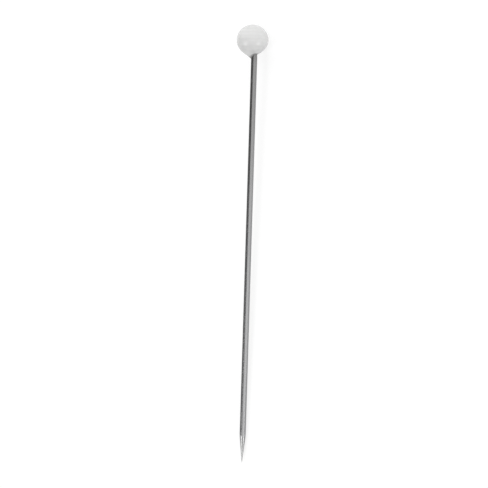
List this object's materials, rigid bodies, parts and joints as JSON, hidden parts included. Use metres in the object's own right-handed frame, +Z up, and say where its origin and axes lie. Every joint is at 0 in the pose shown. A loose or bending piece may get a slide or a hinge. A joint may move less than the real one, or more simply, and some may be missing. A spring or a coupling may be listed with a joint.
{
  "type": "straight pin",
  "caption": "Straight sewing pin: a slim bright steel wire with a ground point and a small round white glass head.",
  "frame": {"origin": "on the floor that the pin lies on, under the middle of its length", "axes": "+Z up, and +Y along the pin from the point to the head. The wire slopes down by 1.47 degrees from the head to the point, because the pin rests on its ball and on the shoulder of its point"},
  "size_m": [0.003, 0.043, 0.0031],
  "materials": {
    "glass_head": "gloss",
    "plated_wire": "satin"
  },
  "bodies": {
    "root": {"head": "glass_head", "shank": "plated_wire"}
  },
  "joints": []
}
